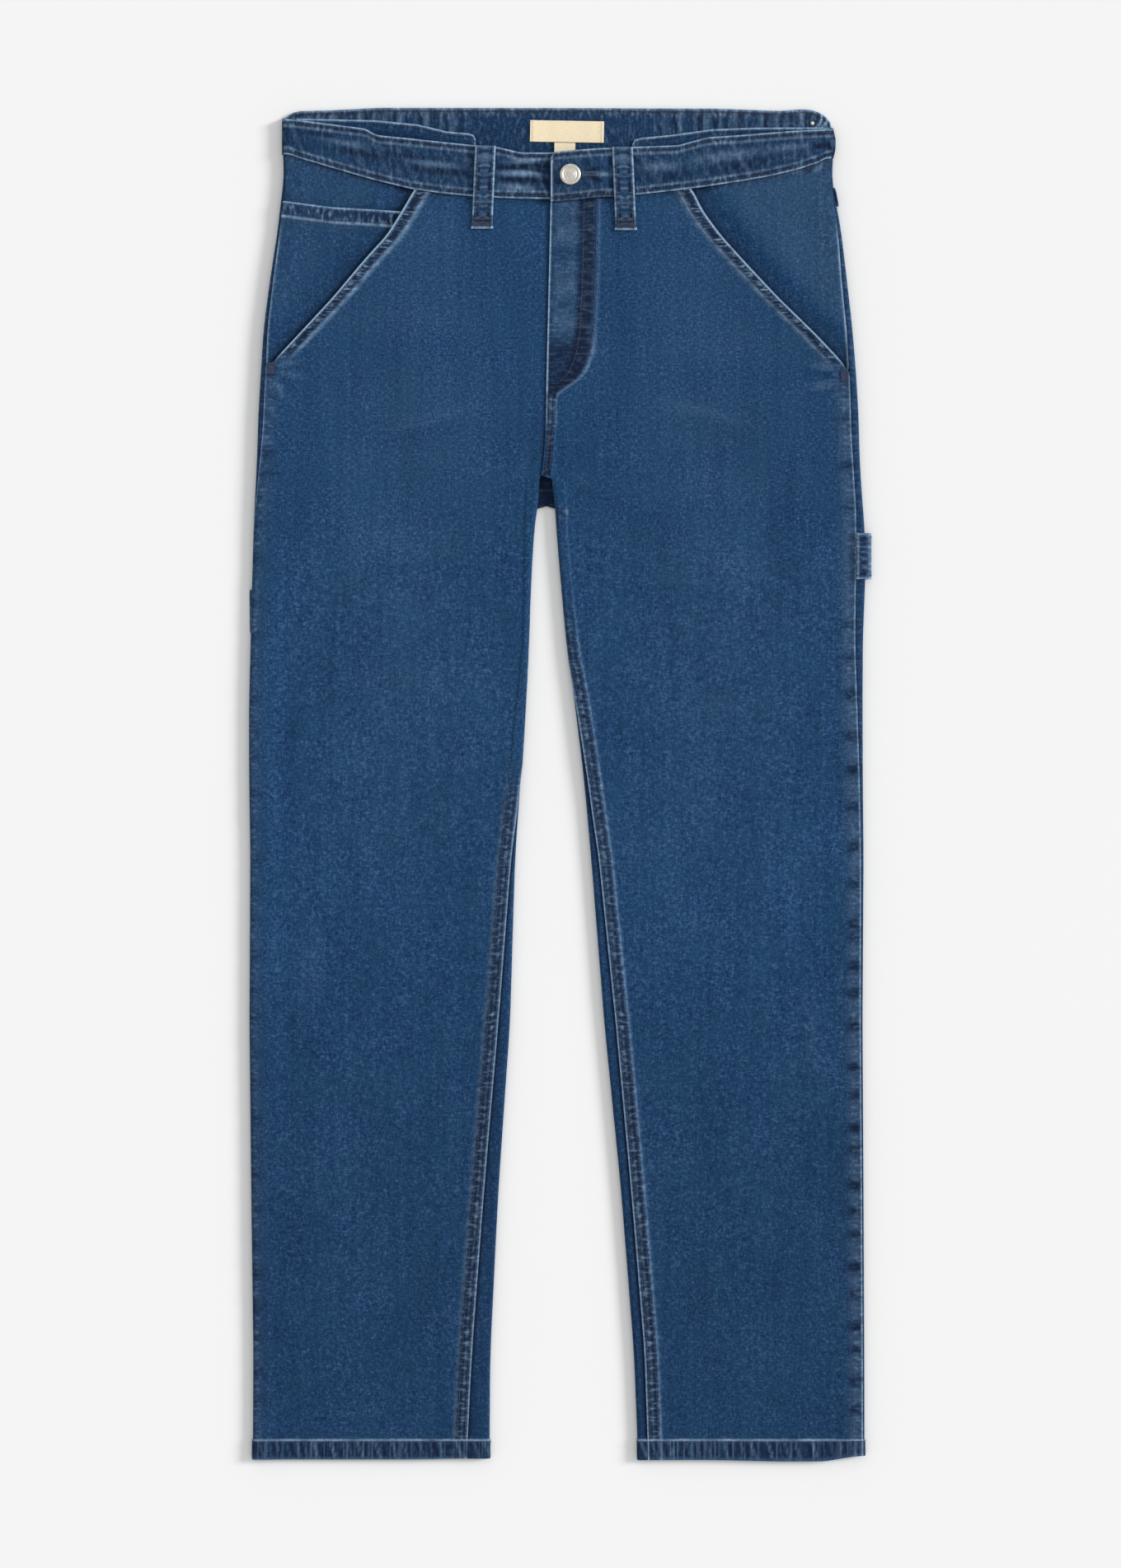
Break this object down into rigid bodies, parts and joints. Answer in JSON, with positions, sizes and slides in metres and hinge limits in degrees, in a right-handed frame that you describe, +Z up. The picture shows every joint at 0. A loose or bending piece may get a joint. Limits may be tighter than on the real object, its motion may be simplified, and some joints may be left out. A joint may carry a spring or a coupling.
{
  "type": "carpenter pants",
  "caption": "Blue denim carpenter pants laid flat, with slant pockets, a hammer loop, wide belt loops and a tack button.",
  "frame": {"origin": "centre of the garment's outline, on the surface that it lies on", "axes": "+X towards the wearer's left, +Y from the hems to the waist, +Z up out of the front of the garment"},
  "size_m": [0.5134, 1.116, 0.0137],
  "materials": {
    "denim": "washed mid-blue denim twill, matt, with light abraded seam edges",
    "button_metal": "dull silver tack button",
    "woven_label": "cream woven tape, bare"
  },
  "bodies": {
    "root": {"front_right_leg": "denim", "front_left_leg": "denim", "back_right_leg": "denim", "back_left_leg": "denim", "pocket_facing_right": "denim", "pocket_facing_left": "denim", "coin_pocket": "denim", "waistband_back": "denim", "waistband_front_right": "denim", "waistband_front_left": "denim", "waistband_facing_right": "denim", "waistband_facing_left": "denim", "belt_loop_front_right": "denim", "belt_loop_front_left": "denim", "belt_loop_side_left": "denim", "hammer_loop": "denim", "tool_pocket": "denim", "waist_button": "button_metal", "label": "woven_label", "size_tab": "woven_label"}
  },
  "joints": []
}
